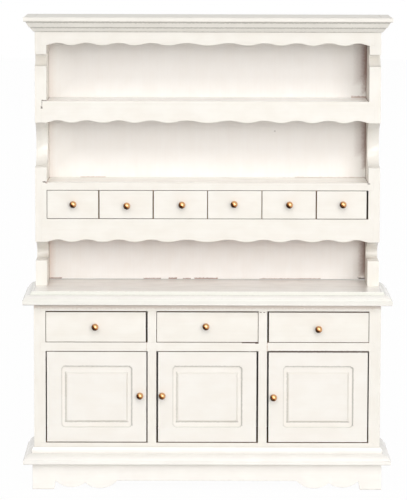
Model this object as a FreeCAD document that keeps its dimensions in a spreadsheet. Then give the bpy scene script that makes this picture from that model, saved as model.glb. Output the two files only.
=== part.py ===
import FreeCAD, Part
import os
import re

import Sketcher

# A painted dresser at dolls' house size: a plate hutch with a row of small drawers,
# standing on a base with three drawers over three doors.
# Millimetres. X runs to the right seen from the front, Y to the back, Z up.
# The origin is on the floor, at the middle of the footprint.

SIZES = {
    # The carcass that both halves share
    "carcass_width": 139.2,
    "case_depth": 39.4,
    "side_thickness": 4.65,
    "back_thickness": 2.4,
    "board_thickness": 2.4,
    "housing_depth": 2.0,
    "hutch_setback": 14.2,
    # Base, from the floor up
    "plinth_height": 10.6,
    "plinth_proud": 0.7,
    "apron_thickness": 3.0,
    "bottom_rail_height": 8.35,
    "door_opening_height": 37.3,
    "middle_rail_height": 3.5,
    "drawer_opening_height": 12.7,
    "top_rail_height": 2.8,
    "frame_thickness": 3.0,
    "stile_width": 3.5,
    # Bracket feet: runs of the sawn edge from the corner inwards, and its height at each point
    "foot_length": 8.7,
    "foot_notch_run": 0.6,
    "first_lobe_run": 5.9,
    "cusp_run": 6.0,
    "second_lobe_run": 6.6,
    "apron_rise_run": 6.3,
    "apron_clearance": 3.5,
    "first_lobe_clearance": 0.85,
    "cusp_clearance": 2.7,
    "second_lobe_clearance": 0.5,
    "side_apron_flat": 2.1,
    # Moulding round the bottom of the base
    "plinth_moulding_height": 6.65,
    "plinth_moulding_projection": 4.4,
    "plinth_nose_height": 1.7,
    "plinth_quirk": 0.35,
    "plinth_slope_height": 1.25,
    "plinth_lip_projection": 1.2,
    "plinth_lip_height": 1.3,
    "plinth_lip_step": 0.3,
    # Counter and the moulding round it
    "counter_thickness": 5.25,
    "counter_projection": 4.4,
    "counter_nose_height": 1.8,
    "counter_quirk": 0.3,
    "counter_slope_height": 1.25,
    "counter_lip_projection": 1.3,
    "counter_lip_step": 0.4,
    "counter_lip_slope": 0.5,
    "nose_rounding": 0.3,
    # Hutch, from the counter up; heights of scalloped edges are to the middle of the wave
    "lower_niche_height": 18.7,
    "apron_height": 8.85,
    "small_opening_height": 11.7,
    "case_top_thickness": 3.05,
    "middle_niche_height": 24.7,
    "shelf_rail_height": 8.2,
    "upper_niche_height": 22.95,
    "frieze_height": 7.95,
    "top_board_thickness": 3.0,
    "shelf_thickness": 3.0,
    "rail_thickness": 2.4,
    "divider_thickness": 1.4,
    "back_panel_lift": 0.3,
    "scallop_depth": 1.0,
    # Crown moulding
    "crown_height": 6.0,
    "crown_projection": 4.5,
    "crown_band_height": 1.9,
    "crown_band_step": 0.3,
    "crown_top_rounding": 0.4,
    "crown_ovolo_projection": 3.5,
    "crown_ovolo_foot": 2.2,
    "crown_fillet_height": 0.3,
    "crown_bead_projection": 1.7,
    "crown_bead_foot": 0.5,
    "crown_bead_height": 1.5,
    # Shaped front edge of the hutch sides: how far each hollow goes back, and its heights
    "upper_hollow_depth": 6.0,
    "upper_hollow_height": 4.8,
    "upper_hollow_drop": 4.15,
    "middle_hollow_depth": 11.5,
    "middle_hollow_height": 18.1,
    "lower_hollow_depth": 16.0,
    "lower_hollow_height": 7.9,
    "hutch_foot_setback": 2.5,
    # Drawers and doors
    "close_gap": 0.22,
    "running_gap": 0.35,
    "even_gap": 0.5,
    "wide_gap": 0.72,
    "face_recess": 0.25,
    "door_thickness": 3.0,
    "drawer_front_thickness": 2.8,
    "small_front_thickness": 2.4,
    "drawer_board": 1.2,
    "drawer_inset": 0.4,
    "drawer_lift": 0.3,
    "drawer_headroom": 3.6,
    "drawer_back_clearance": 1.95,
    "small_headroom": 3.0,
    "small_back_clearance": 1.475,
    "divider_clearance": 0.3,
    # Routed door panel
    "panel_margin": 5.8,
    "panel_groove_depth": 0.8,
    "panel_side_groove": 1.6,
    "panel_head_groove": 2.5,
    "panel_foot_groove": 2.2,
    "panel_bevel": 0.75,
    "panel_corner_radius": 1.35,
    # Pins and knobs
    "pin_radius": 0.4,
    "pin_inset": 2.6,
    "pin_rail_wall": 1.3,
    "pin_in_door": 2.0,
    "pin_running_clearance": 0.05,
    "pin_end_clearance": 0.2,
    "glue_clearance": 0.02,
    "knob_ball_radius": 1.43,
    "knob_neck_length": 0.52,
    "knob_neck_radius": 0.6,
    "knob_collar_radius": 0.95,
    "knob_collar_depth": 0.25,
    "knob_stem_radius": 0.4,
    "knob_stem_wall": 0.7,
    "door_knob_inset": 2.1,
    # How far a cutting shape runs past what it cuts
    "overrun": 1.0,
}

# Spacing of the boards between the small drawers, as a share of half the clear width
SMALL_PITCH_SHARE = 0.338

PLACES = {
    # Across
    "carcass_half": "carcass_width / 2",
    "side_inner": "carcass_half - side_thickness",
    "housing_end": "side_inner + housing_depth",
    "plinth_half": "carcass_half + plinth_proud",
    "bay_width": "(2 * side_inner - 2 * stile_width) / 3",
    "stile_centre": "(bay_width + stile_width) / 2",
    "small_drawer_pitch": f"side_inner * {SMALL_PITCH_SHARE}",
    # Front to back
    "case_front": "(counter_projection - case_depth) / 2",
    "case_back": "case_front + case_depth",
    "panel_front": "case_back - back_thickness",
    "frame_back": "case_front + frame_thickness",
    "plinth_front": "case_front - plinth_proud",
    "apron_back": "plinth_front + apron_thickness",
    "hutch_front": "case_front + hutch_setback",
    "rail_back": "hutch_front + rail_thickness",
    "door_face": "case_front + face_recess",
    "small_face": "hutch_front + face_recess / 2",
    "small_front_back": "small_face + small_front_thickness",
    "pin_line": "door_face + door_thickness / 2",
    "drawer_box_length": "panel_front - door_face - drawer_front_thickness - drawer_back_clearance",
    "small_box_length": "panel_front - small_front_back - small_back_clearance",
    # The sawn edge of the aprons
    "foot_notch_reach": "foot_length + foot_notch_run",
    "first_lobe_reach": "foot_notch_reach + first_lobe_run",
    "cusp_reach": "first_lobe_reach + cusp_run",
    "second_lobe_reach": "cusp_reach + second_lobe_run",
    "apron_rise_reach": "second_lobe_reach + apron_rise_run",
    "side_lobe_end_reach": "(case_back - plinth_front - side_apron_flat) / 2",
    # Heights
    "door_sill": "plinth_height + bottom_rail_height",
    "door_head": "door_sill + door_opening_height",
    "drawer_sill": "door_head + middle_rail_height",
    "drawer_head": "drawer_sill + drawer_opening_height",
    "case_top": "drawer_head + top_rail_height",
    "counter_level": "case_top + counter_thickness",
    "apron_edge": "counter_level + lower_niche_height",
    "small_sill": "apron_edge + apron_height",
    "small_head": "small_sill + small_opening_height",
    "drawer_case_level": "small_head + case_top_thickness",
    "rail_edge": "drawer_case_level + middle_niche_height",
    "shelf_level": "rail_edge + shelf_rail_height",
    "frieze_edge": "shelf_level + upper_niche_height",
    "top_underside": "frieze_edge + frieze_height",
    "hutch_top_level": "top_underside + top_board_thickness",
    "half_wave": "scallop_depth / 2",
    "drawer_box_height": "drawer_opening_height - drawer_lift - drawer_headroom",
    "small_box_height": "small_opening_height - drawer_lift - small_headroom",
    "plinth_round_top": "plinth_moulding_height - plinth_slope_height - plinth_lip_height",
    "plinth_ovolo_height": "plinth_round_top - plinth_nose_height",
    "counter_round_top": "counter_thickness - counter_slope_height",
    "counter_ovolo_height": "counter_round_top - counter_nose_height",
    "crown_round_top": "crown_height - crown_band_height",
    "crown_round_foot": "crown_bead_height + crown_fillet_height",
    "crown_ovolo_height": "crown_round_top - crown_round_foot",
    # Pins and knobs
    "pin_in_rail": "middle_rail_height - pin_rail_wall",
    "knob_stem_length": "small_front_thickness - knob_stem_wall",
    "knob_ball_reach": "sqrt(knob_ball_radius ^ 2 - knob_neck_radius ^ 2)",
    "knob_ball_centre": "knob_collar_depth + knob_neck_length + knob_ball_reach",
    "knob_projection": "knob_ball_centre + knob_ball_radius",
}

# The scalloped edges: crests and hanging lobes, from the middle out, as shares of half the
# clear width between the hutch sides
CREST_SHARES = (0.135, 0.354, 0.5535, 0.751, 0.934)
LOBE_SHARES = (0.0, 0.243, 0.4495, 0.650, 0.847)

# Knobs were pushed in by hand, a little off the middle: shares of the front's width and height
DRAWER_KNOB_SHARES = ((-0.008, 0.014), (-0.015, 0.036), (-0.003, -0.046))
SMALL_KNOB_SHARES = (
    (0.007, 0.012), (0.015, -0.036), (0.027, 0.0),
    (-0.012, 0.030), (0.007, 0.012), (0.023, 0.024),
)
DOOR_KNOB_SHARES = ((-0.012, 0.018), (-0.012, 0.018), (-0.004, 0.002))

# No front was fitted evenly: the gap at the left and right of each drawer and door, and the
# gaps along the row of small drawers, from the left
DRAWER_GAPS = (("close_gap", "wide_gap"), ("close_gap", "close_gap"), ("wide_gap", "close_gap"))
DOOR_GAPS = (("even_gap", "even_gap"), ("wide_gap", "wide_gap"), ("wide_gap", "even_gap"))
SMALL_GAPS = (
    "close_gap", "even_gap", "even_gap", "running_gap", "running_gap", "even_gap", "wide_gap",
)

# Where a moulding's round stands proudest, as shares of its width and height
ROUND_OUT_SHARE = 0.64
ROUND_UP_SHARE = 0.62

# How far the middle of a quarter circle lies in from its square corner, as a share of its radius
CORNER_BEND_SHARE = 1 - 0.5 ** 0.5

# The hollows in the hutch sides, from the bottom up: a corner, or an arc's middle and end,
# as shares of the hollow's depth and height
UPPER_HOLLOW_SHARES = ((0.2, 0.04), (0.75, 0.38, 1.0, 0.75), (1.0, 0.95), (0.25, 1.0))
MIDDLE_HOLLOW_SHARES = (
    (0.5, 0.02), (0.9, 0.2, 1.0, 0.42), (0.93, 0.66, 0.66, 0.86), (0.3, 1.0),
)
LOWER_HOLLOW_SHARES = (
    (0.8, 0.0), (0.98, 0.15, 0.95, 0.45), (0.62, 0.78, 0.12, 1.0),
)

doc = FreeCAD.newDocument("Dresser")
sheet = doc.addObject("Spreadsheet::Sheet", "Sizes")
nodes = []


def fill_sheet():
    """Write each driving size into the sheet, with its name beside it."""
    for row, (name, value) in enumerate(SIZES.items(), start=1):
        sheet.set(f"A{row}", name)
        sheet.set(f"B{row}", str(value))
        sheet.setAlias(f"B{row}", name)
    doc.recompute()


def formula(text):
    """Turn the names in a text into references to the sheet."""
    def reference(match):
        name = match.group()
        if name in PLACES:
            return f"({formula(PLACES[name])})"
        if name in SIZES:
            return f"Sizes.{name}"
        return name
    return re.sub(r"[a-z_][a-z0-9_]*", reference, text)


def measure(text):
    """The number that a text of named sizes comes to."""
    return float(sheet.evalExpression(formula(text)))


def bind(item, prop, text):
    item.setExpression(prop, formula(text))


def node(label, item):
    """Name a finished sub-part; its label is also its file's name."""
    item.Label = label
    nodes.append(item)
    return item


def board(name, x, y, z):
    """A flat board between two faces along each of X, Y and Z."""
    box = doc.addObject("Part::Box", name)
    for prop, axis, (low, high) in (("Length", "x", x), ("Width", "y", y), ("Height", "z", z)):
        bind(box, prop, f"({high}) - ({low})")
        bind(box, f"Placement.Base.{axis}", low)
    return box


def dowel(name, radius, length, x, y, z, turn=FreeCAD.Rotation()):
    """A round rod that starts at a point and runs up, or along the turned direction."""
    rod = doc.addObject("Part::Cylinder", name)
    rod.Placement = FreeCAD.Placement(FreeCAD.Vector(), turn)
    bind(rod, "Radius", radius)
    bind(rod, "Height", length)
    for axis, place in (("x", x), ("y", y), ("z", z)):
        bind(rod, f"Placement.Base.{axis}", place)
    return rod


def group(name, items):
    """Separate solids that one node holds."""
    compound = doc.addObject("Part::Compound", name)
    compound.Links = items
    return compound


def cut(name, base, tools):
    result = doc.addObject("Part::Cut", name)
    result.Base = base
    result.Tool = tools[0] if len(tools) == 1 else group(f"{name}_cuts", tools)
    return result


def mirror(name, source):
    """The other hand of a piece, across the middle of the dresser."""
    result = doc.addObject("Part::Mirroring", name)
    result.Source = source
    result.Normal = FreeCAD.Vector(1, 0, 0)
    return result


def hold_point(sketch, geometry, end, place):
    """Fix one point of a sketch by two named lengths from the sketch's origin."""
    for kind, text in zip(("DistanceX", "DistanceY"), place):
        constraint = Sketcher.Constraint(kind, -1, 1, geometry, end, measure(text))
        index = sketch.addConstraint(constraint)
        bind(sketch, f"Constraints[{index}]", text)


def draw_outline(sketch, points):
    """Draw a closed outline. Each entry is a corner, or an arc's middle and end.

    The first entry is the point where the outline starts, and a side back to it closes the
    outline unless its last arc ends there.
    """
    def vector(place):
        return FreeCAD.Vector(measure(place[0]), measure(place[1]), 0)
    last = points[0]
    closing = [] if points[-1][-2:] == last else [last]
    ends = []
    for entry in points[1:] + closing:
        corner = entry[-2:]
        if len(entry) == 4:
            middle = entry[:2]
            path = [vector(place) for place in (last, middle, corner)]
            turn = (path[1] - path[0]).cross(path[2] - path[1]).z
            # A sketch keeps its arcs anticlockwise
            first, second = (1, 2) if turn > 0 else (2, 1)
            arc = Part.Arc(*(path if turn > 0 else reversed(path)))
            index = sketch.addGeometry(arc, False)
            mark = sketch.addGeometry(Part.Point(path[1]), True)
            hold_point(sketch, mark, 1, middle)
            sketch.addConstraint(Sketcher.Constraint("PointOnObject", mark, 1, index))
        else:
            index = sketch.addGeometry(Part.LineSegment(vector(last), vector(corner)), False)
            first, second = 1, 2
        hold_point(sketch, index, first, last)
        ends.append((index, first, second))
        last = corner
    for (one, _, end), (two, start, _) in zip(ends, ends[1:] + ends[:1]):
        sketch.addConstraint(Sketcher.Constraint("Coincident", one, end, two, start))


def new_sketch(body, role, height):
    """A sketch parallel to one of a body's own origin planes, at a height above it."""
    plane = next(item for item in body.Origin.OriginFeatures if item.Role == role)
    sketch = body.newObject("Sketcher::SketchObject", "Outline")
    sketch.AttachmentSupport = (plane, [""])
    sketch.MapMode = "FlatFace"
    bind(sketch, "AttachmentOffset.Base.z", height)
    return sketch


def sawn(name, role, low, high, points, taper="0"):
    """A piece of one outline, between two planes along the third direction.

    The outline is in X and Y, X and Z or Y and Z. In X and Z it starts at the far plane,
    and a taper draws it in towards the near one.
    """
    body = doc.addObject("PartDesign::Body", name)
    start = f"-({high})" if role == "XZ_Plane" else low
    sketch = new_sketch(body, role, start)
    draw_outline(sketch, points)
    pad = body.newObject("PartDesign::Pad", "Pad")
    pad.Profile = sketch
    bind(pad, "Length", f"({high}) - ({low})")
    if taper != "0":
        bind(pad, "TaperAngle", taper)
    return body


def scalloped_board(name, edge, top):
    """A hutch rail with a waved lower edge, its ends housed in the side boards."""
    crests = [(share, "half_wave") for share in CREST_SHARES]
    lobes = [(share, "-half_wave") for share in LOBE_SHARES]
    right = sorted(crests + lobes)
    left = [(-share, lift) for share, lift in reversed(right) if share > 0]
    wave = left + right
    low = f"{edge} - half_wave"
    points = [("-housing_end", top), ("-housing_end", low), ("-side_inner", low)]
    reach = [f"side_inner * {share}" for share, _ in wave]
    bounds = ["-side_inner"] + reach + ["side_inner"]
    first_rest = f"({bounds[0]} + {bounds[1]}) / 2"
    points.append((first_rest, edge))
    for index, (_, lift) in enumerate(wave):
        rest = f"({bounds[index + 1]} + {bounds[index + 2]}) / 2"
        points.append((reach[index], f"{edge} + {lift}", rest, edge))
    points += [("side_inner", low), ("housing_end", low), ("housing_end", top)]
    return sawn(name, "XZ_Plane", "hutch_front", "rail_back", points)


def round_middle(out_from, out_to, up, rise):
    """The proudest point of a moulding's round, between its lower and upper edges."""
    out = f"({out_from}) * {ROUND_OUT_SHARE} + ({out_to}) * (1 - {ROUND_OUT_SHARE})"
    return out, f"{up} + {rise} * {ROUND_UP_SHARE}"


def mitred_moulding(name, profile, bottom, height, front, projection):
    """A moulding round the front and both ends, in three lengths mitred at the corners.

    The profile is in steps out from the carcass and up from the moulding's bottom.
    """
    def placed(place_out):
        """The profile set in a plane: out becomes a place there, and up a height."""
        points = []
        for entry in profile:
            spots = [entry[start:start + 2] for start in range(0, len(entry), 2)]
            moved = [(place_out(out), f"{bottom} + {up}") for out, up in spots]
            points.append(sum(moved, ()))
        return points
    edge = f"carcass_half + {projection}"
    nose = f"{front} - {projection}"
    front_run = sawn(f"{name}_front_run", "YZ_Plane", f"-({edge})", edge,
                     placed(lambda out: f"{front} - ({out})"))
    end_run = sawn(f"{name}_end_run", "XZ_Plane", nose, "case_back",
                   placed(lambda out: f"carcass_half + ({out})"))
    under = f"{bottom} - overrun"
    over = f"{bottom} + {height} + overrun"
    corner = ("carcass_half", front)
    mitre_end = (f"{edge} + overrun", f"{nose} - overrun")
    outside = sawn(f"{name}_outside", "XY_Plane", under, over,
                   [corner, mitre_end, (f"{edge} + overrun", front)])
    inside = sawn(f"{name}_inside", "XY_Plane", under, over,
                  [corner, mitre_end, ("carcass_half - overrun", f"{nose} - overrun"),
                   ("carcass_half - overrun", front)])
    front_length = cut(f"{name}_front", front_run, [outside, mirror(f"{name}_outside_left", outside)])
    right_length = cut(f"{name}_right", end_run, [inside])
    left_length = mirror(f"{name}_left", right_length)
    node(name, group(f"{name}_lengths", [front_length, right_length, left_length]))


def make_plinth():
    """Three aprons under the base, sawn to bracket feet at the corners."""
    foot, notch, first, cusp, second, rise = (
        f"(plinth_half - {reach})" for reach in (
            "foot_length", "foot_notch_reach", "first_lobe_reach", "cusp_reach",
            "second_lobe_reach", "apron_rise_reach"))
    outline = [
        ("-plinth_half", "plinth_height"),
        ("-plinth_half", "0"),
        (f"-{foot}", "0"),
        (f"-{notch}", "apron_clearance"),
        (f"-{first}", "first_lobe_clearance", f"-{cusp}", "cusp_clearance"),
        (f"-{second}", "second_lobe_clearance", f"-{rise}", "apron_clearance"),
        (rise, "apron_clearance"),
        (second, "second_lobe_clearance", cusp, "cusp_clearance"),
        (first, "first_lobe_clearance", notch, "apron_clearance"),
        (foot, "0"),
        ("plinth_half", "0"),
        ("plinth_half", "plinth_height"),
    ]
    front = sawn("front_apron", "XZ_Plane", "plinth_front", "apron_back", outline)
    lobe_middle = "(foot_notch_reach + side_lobe_end_reach) / 2"
    side_outline = [
        ("apron_back", "plinth_height"),
        ("apron_back", "0"),
        ("plinth_front + foot_length", "0"),
        ("plinth_front + foot_notch_reach", "apron_clearance"),
        (f"plinth_front + {lobe_middle}", "first_lobe_clearance",
         "plinth_front + side_lobe_end_reach", "apron_clearance"),
        ("case_back - side_lobe_end_reach", "apron_clearance"),
        (f"case_back - {lobe_middle}", "first_lobe_clearance",
         "case_back - foot_notch_reach", "apron_clearance"),
        ("case_back - foot_length", "0"),
        ("case_back", "0"),
        ("case_back", "plinth_height"),
    ]
    right = sawn("right_apron", "YZ_Plane", "plinth_half - apron_thickness", "plinth_half",
                 side_outline)
    node("plinth_aprons", group("apron_boards", [front, right, mirror("left_apron", right)]))


def make_base():
    """Sides, back, floor, inner boards and the frame round the drawers and doors."""
    full = ("case_front", "case_back")
    blank = board("base_side_blank", ("side_inner", "carcass_half"), full,
                  ("plinth_height", "case_top"))
    rails = {
        "base_bottom_rail": ("plinth_height", "door_sill"),
        "base_middle_rail": ("door_head", "drawer_sill"),
        "base_top_rail": ("drawer_head", "case_top"),
    }
    housings = [
        board(f"{name}_housing", ("side_inner - overrun", "housing_end"),
              ("case_front - overrun", "frame_back"), levels)
        for name, levels in rails.items()
    ]
    right = node("base_side_right", cut("base_side_right", blank, housings))
    node("base_side_left", mirror("base_side_left", right))
    node("base_back", board("base_back", ("-side_inner", "side_inner"),
                            ("panel_front", "case_back"), ("plinth_height", "case_top")))
    inner = ("frame_back", "panel_front")
    node("base_floor", board("base_floor", ("-side_inner", "side_inner"), inner,
                             ("door_sill - board_thickness", "door_sill")))
    make_rails(rails)
    stiles = []
    partitions = []
    for side, sign in (("left", "-"), ("right", "")):
        spot = f"{sign}stile_centre"
        width = (f"{spot} - stile_width / 2", f"{spot} + stile_width / 2")
        depth = ("case_front", "frame_back")
        stiles.append(board(f"lower_stile_{side}", width, depth, ("door_sill", "door_head")))
        stiles.append(board(f"upper_stile_{side}", width, depth, ("drawer_sill", "drawer_head")))
        width = (f"{spot} - board_thickness / 2", f"{spot} + board_thickness / 2")
        partitions.append(board(f"partition_{side}", width, inner, ("door_sill", "case_top")))
    node("base_stiles", group("base_stiles", stiles))
    node("base_partitions", group("base_partitions", partitions))
    near = "stile_centre - board_thickness / 2"
    far = "stile_centre + board_thickness / 2"
    bays = (("-side_inner", f"-({far})"), (f"-({near})", near), (far, "side_inner"))
    shelves = [
        board(f"drawer_shelf_{index}", width, inner, ("drawer_sill - board_thickness", "drawer_sill"))
        for index, width in enumerate(bays)
    ]
    node("drawer_shelves", group("drawer_shelves", shelves))


def pin_places():
    """Where each door turns: left on its left edge, the others on their right edges."""
    left, middle, right = DOOR_GAPS
    return {
        "left": f"-(side_inner - {left[0]} - pin_inset)",
        "middle": f"bay_width / 2 - {middle[1]} - pin_inset",
        "right": f"side_inner - {right[1]} - pin_inset",
    }


def make_rails(rails):
    """The three rails of the base frame, drilled where the door pins are driven in."""
    drilled = {
        "base_bottom_rail": "door_sill - pin_in_rail",
        "base_middle_rail": "door_head",
    }
    for name, levels in rails.items():
        rail = board(f"{name}_blank", ("-housing_end", "housing_end"),
                     ("case_front", "frame_back"), levels)
        if name in drilled:
            holes = [
                dowel(f"{name}_hole_{door}", "pin_radius + glue_clearance", "pin_in_rail",
                      place, "pin_line", drilled[name])
                for door, place in pin_places().items()
            ]
            node(name, cut(name, rail, holes))
        else:
            node(name, rail)
    length = "pin_in_rail + running_gap + pin_in_door"
    pins = []
    for door, place in pin_places().items():
        pins.append(dowel(f"lower_pin_{door}", "pin_radius", length, place, "pin_line",
                          "door_sill - pin_in_rail"))
        pins.append(dowel(f"upper_pin_{door}", "pin_radius", length, place, "pin_line",
                          "door_head - running_gap - pin_in_door"))
    node("door_pins", group("door_pins", pins))


def make_plinth_moulding():
    """A stepped base moulding: a square nose, a round, and a lip that slopes to the case."""
    nose = "plinth_moulding_projection"
    shelf = f"{nose} - plinth_quirk"
    lip = "plinth_lip_projection - plinth_lip_step"
    profile = [
        ("0", "0"),
        (f"{nose} - nose_rounding", "0"),
        (nose, "nose_rounding"),
        (nose, "plinth_nose_height"),
        (shelf, "plinth_nose_height"),
        (*round_middle(shelf, "plinth_lip_projection", "plinth_nose_height", "plinth_ovolo_height"),
         "plinth_lip_projection", "plinth_round_top"),
        (lip, "plinth_round_top"),
        (lip, "plinth_round_top + plinth_lip_height"),
        ("plinth_lip_step", "plinth_moulding_height"),
        ("0", "plinth_moulding_height"),
    ]
    mitred_moulding("plinth_moulding", profile, "plinth_height", "plinth_moulding_height",
                    "case_front", nose)


def make_counter():
    """The counter board, and the moulding that thickens its edge and flares out below it."""
    node("counter_top", board("counter_board", ("-carcass_half", "carcass_half"),
                              ("case_front", "case_back"), ("case_top", "counter_level")))
    nose = "counter_projection"
    shelf = f"{nose} - counter_quirk"
    round_end = "counter_lip_projection + counter_lip_step"
    profile = [
        ("0", "0"),
        (f"{nose} - nose_rounding", "0"),
        (nose, "nose_rounding"),
        (nose, "counter_nose_height"),
        (shelf, "counter_nose_height"),
        (*round_middle(shelf, round_end, "counter_nose_height", "counter_ovolo_height"),
         round_end, "counter_round_top"),
        ("counter_lip_projection", "counter_round_top"),
        ("counter_lip_projection - counter_lip_slope", "counter_thickness"),
        ("0", "counter_thickness"),
    ]
    mitred_moulding("counter_moulding", profile, "case_top", "counter_thickness",
                    "case_front", nose)


def make_crown():
    """The crown: a bead, a round and a square band, each standing further out."""
    profile = [
        ("0", "0"),
        ("crown_bead_foot", "0"),
        (*round_middle("crown_bead_projection", "crown_bead_foot", "0", "crown_bead_height"),
         "crown_bead_projection", "crown_bead_height"),
        ("crown_bead_projection", "crown_round_foot"),
        ("crown_ovolo_foot", "crown_round_foot"),
        (*round_middle("crown_ovolo_projection", "crown_ovolo_foot", "crown_round_foot",
                       "crown_ovolo_height"),
         "crown_ovolo_projection", "crown_round_top"),
        ("crown_projection - crown_band_step", "crown_round_top"),
        ("crown_projection", "crown_round_top + crown_band_step"),
        ("crown_projection", "crown_height - crown_top_rounding"),
        ("crown_projection - crown_top_rounding", "crown_height"),
        ("0", "crown_height"),
    ]
    mitred_moulding("crown_moulding", profile, "hutch_top_level - crown_height", "crown_height",
                    "hutch_front", "crown_projection")


def hollow(shares, top, depth, height):
    """One hollow in a hutch side's front edge, from its lower lip up to its upper lip."""
    def place(back, up):
        return f"hutch_front + {depth} * {back}", f"{top} - {height} * {1 - up}"
    points = [("hutch_front", f"{top} - {height}")]
    for entry in shares:
        spots = [place(*entry[start:start + 2]) for start in range(0, len(entry), 2)]
        points.append(sum(spots, ()))
    points.append(("hutch_front", top))
    return points


def make_hutch_sides():
    """Side boards with shaped front edges, housed out for the rails, apron and case top."""
    foot = "hutch_front + hutch_foot_setback"
    lower = hollow(LOWER_HOLLOW_SHARES, "apron_edge - half_wave", "lower_hollow_depth",
                   "lower_hollow_height")
    outline = [("case_back", "counter_level"), (foot, "counter_level")]
    outline.append((foot, "apron_edge - half_wave - lower_hollow_height"))
    outline += lower[1:]
    outline += hollow(MIDDLE_HOLLOW_SHARES, "rail_edge - half_wave", "middle_hollow_depth",
                      "middle_hollow_height")
    outline += hollow(UPPER_HOLLOW_SHARES, "frieze_edge - upper_hollow_drop",
                      "upper_hollow_depth", "upper_hollow_height")
    outline += [("hutch_front", "top_underside"), ("case_back", "top_underside")]
    blank = sawn("hutch_side_blank", "YZ_Plane", "side_inner", "carcass_half", outline)
    seats = {
        "frieze": ("rail_back", "frieze_edge - half_wave", "top_underside + overrun"),
        "shelf_rail": ("rail_back", "rail_edge - half_wave", "shelf_level"),
        "case_top": ("panel_front", "small_head", "drawer_case_level"),
        "apron": ("rail_back", "apron_edge - half_wave", "small_sill"),
    }
    housings = [
        board(f"{name}_housing", ("side_inner - overrun", "housing_end"),
              ("hutch_front - overrun", back), (low, high))
        for name, (back, low, high) in seats.items()
    ]
    right = node("hutch_side_right", cut("hutch_side", blank, housings))
    node("hutch_side_left", mirror("hutch_side_mirrored", right))


def make_hutch():
    """Back, top, shelf, scalloped rails and the case of the small drawers."""
    clear = ("-side_inner", "side_inner")
    behind = ("rail_back", "panel_front")
    node("hutch_back", board("hutch_back_panel", clear, ("panel_front", "case_back"),
                             ("counter_level + back_panel_lift", "top_underside")))
    node("hutch_top", board("hutch_top_board", ("-carcass_half", "carcass_half"),
                            ("hutch_front", "case_back"), ("top_underside", "hutch_top_level")))
    node("upper_shelf", board("upper_shelf_board", clear, behind,
                              ("shelf_level - shelf_thickness", "shelf_level")))
    node("frieze_rail", scalloped_board("frieze", "frieze_edge", "top_underside"))
    node("upper_shelf_rail", scalloped_board("shelf_rail", "rail_edge", "shelf_level"))
    node("drawer_case_apron", scalloped_board("case_apron", "apron_edge", "small_sill"))
    node("drawer_case_top", board("case_top_board", ("-housing_end", "housing_end"),
                                  ("hutch_front", "panel_front"),
                                  ("small_head", "drawer_case_level")))
    node("drawer_case_bottom", board("case_bottom_board", clear, behind,
                                     ("small_sill - board_thickness", "small_sill")))
    dividers = [
        board(f"divider_{step + len(INNER_STEPS) // 2}",
              (f"{step} * small_drawer_pitch - divider_thickness / 2",
               f"{step} * small_drawer_pitch + divider_thickness / 2"),
              ("small_front_back + divider_clearance", "panel_front"),
              ("small_sill", "small_head"))
        for step in INNER_STEPS
    ]
    node("drawer_case_dividers", group("divider_boards", dividers))


def make_knob(label, x, y, z):
    """A turned ball knob on a neck and collar, with a stem that goes into the wood."""
    body = doc.addObject("PartDesign::Body", label)
    outline = [
        ("knob_stem_length", "0"),
        ("knob_stem_length", "knob_stem_radius"),
        ("0", "knob_stem_radius"),
        ("0", "knob_collar_radius"),
        ("-knob_collar_depth", "knob_collar_radius"),
        ("-knob_collar_depth", "knob_neck_radius"),
        ("-(knob_collar_depth + knob_neck_length)", "knob_neck_radius"),
        ("-knob_ball_centre", "knob_ball_radius", "-knob_projection", "0"),
    ]
    sketch = new_sketch(body, "YZ_Plane", "0")
    draw_outline(sketch, outline)
    turned = body.newObject("PartDesign::Revolution", "Turned")
    turned.Profile = sketch
    turned.ReferenceAxis = (sketch, ["H_Axis"])
    for axis, place in (("x", x), ("y", y), ("z", z)):
        bind(body, f"Placement.Base.{axis}", place)
    node(label, body)


def drilled(name, blank, x, face, z):
    """A front with the blind hole that its knob's stem is glued in."""
    hole = dowel(f"{name}_hole", "knob_stem_radius + glue_clearance", "knob_stem_length",
                 x, face, z, FreeCAD.Rotation(FreeCAD.Vector(1, 0, 0), -90))
    return cut(name, blank, [hole])


def make_drawer(name, front, box, knob_shares, thickness):
    """A drawer: its front, the four boards of its box, and its knob."""
    (left, right), face, (low, high) = front
    back_of_front = f"{face} + {thickness}"
    blank = board(f"{name}_blank", (left, right), (face, back_of_front), (low, high))
    knob_x = f"(({left}) + ({right})) / 2 + (({right}) - ({left})) * {knob_shares[0]}"
    knob_z = f"(({low}) + ({high})) / 2 + (({high}) - ({low})) * {knob_shares[1]}"
    node(f"{name}_front", drilled(f"{name}_drilled", blank, knob_x, face, knob_z))
    make_knob(f"{name}_knob", knob_x, face, knob_z)
    (left, right), length, (low, high) = box
    end = f"{back_of_front} + {length}"
    floor_top = f"{low} + drawer_board"
    boards = [
        board(f"{name}_bottom", (left, right), (back_of_front, end), (low, floor_top)),
        board(f"{name}_left", (left, f"{left} + drawer_board"), (back_of_front, end),
              (floor_top, high)),
        board(f"{name}_right", (f"{right} - drawer_board", right), (back_of_front, end),
              (floor_top, high)),
        board(f"{name}_back", (f"{left} + drawer_board", f"{right} - drawer_board"),
              (f"{end} - drawer_board", end), (floor_top, high)),
    ]
    node(f"{name}_box", group(f"{name}_boards", boards))


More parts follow.
